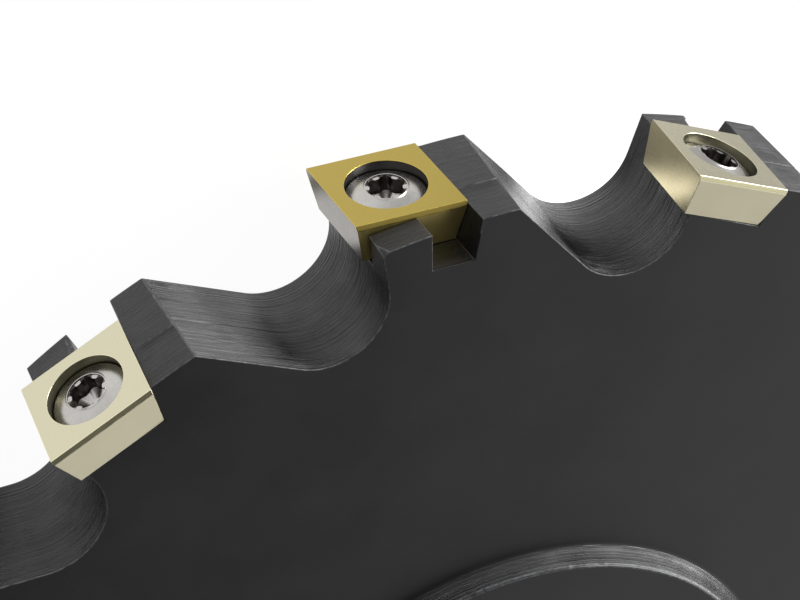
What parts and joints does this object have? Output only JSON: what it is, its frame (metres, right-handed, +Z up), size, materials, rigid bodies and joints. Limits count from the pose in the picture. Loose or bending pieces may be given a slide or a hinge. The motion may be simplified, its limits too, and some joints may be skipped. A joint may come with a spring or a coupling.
{
  "type": "side and face milling cutter",
  "caption": "Disc milling cutter with a keyed bore and raised hub faces. Carbide inserts lie on the rim, screwed down alternately at its upper and its lower side.",
  "frame": {"origin": "centre of the lower hub face, on the disc's axis", "axes": "+Z up along the disc's axis, so that the cutter turns anticlockwise seen from above; the keyway points to +Y"},
  "size_m": [0.1596, 0.1582, 0.018],
  "materials": {
    "body": "black oxide over turned and milled tool steel",
    "insert_upper": "pale champagne coating on ground carbide",
    "insert_lower": "gold coating on ground carbide",
    "screw": "bright turned steel"
  },
  "bodies": {
    "root": {"cutter_body": "body", "insert_01": "insert_upper", "insert_02": "insert_lower", "insert_03": "insert_upper", "insert_04": "insert_lower", "insert_05": "insert_upper", "insert_06": "insert_lower", "insert_07": "insert_upper", "insert_08": "insert_lower", "insert_09": "insert_upper", "insert_10": "insert_lower", "insert_11": "insert_upper", "insert_12": "insert_lower", "insert_13": "insert_upper", "insert_14": "insert_lower", "clamp_screw_01": "screw", "clamp_screw_02": "screw", "clamp_screw_03": "screw", "clamp_screw_04": "screw", "clamp_screw_05": "screw", "clamp_screw_06": "screw", "clamp_screw_07": "screw", "clamp_screw_08": "screw", "clamp_screw_09": "screw", "clamp_screw_10": "screw", "clamp_screw_11": "screw", "clamp_screw_12": "screw", "clamp_screw_13": "screw", "clamp_screw_14": "screw"}
  },
  "joints": []
}
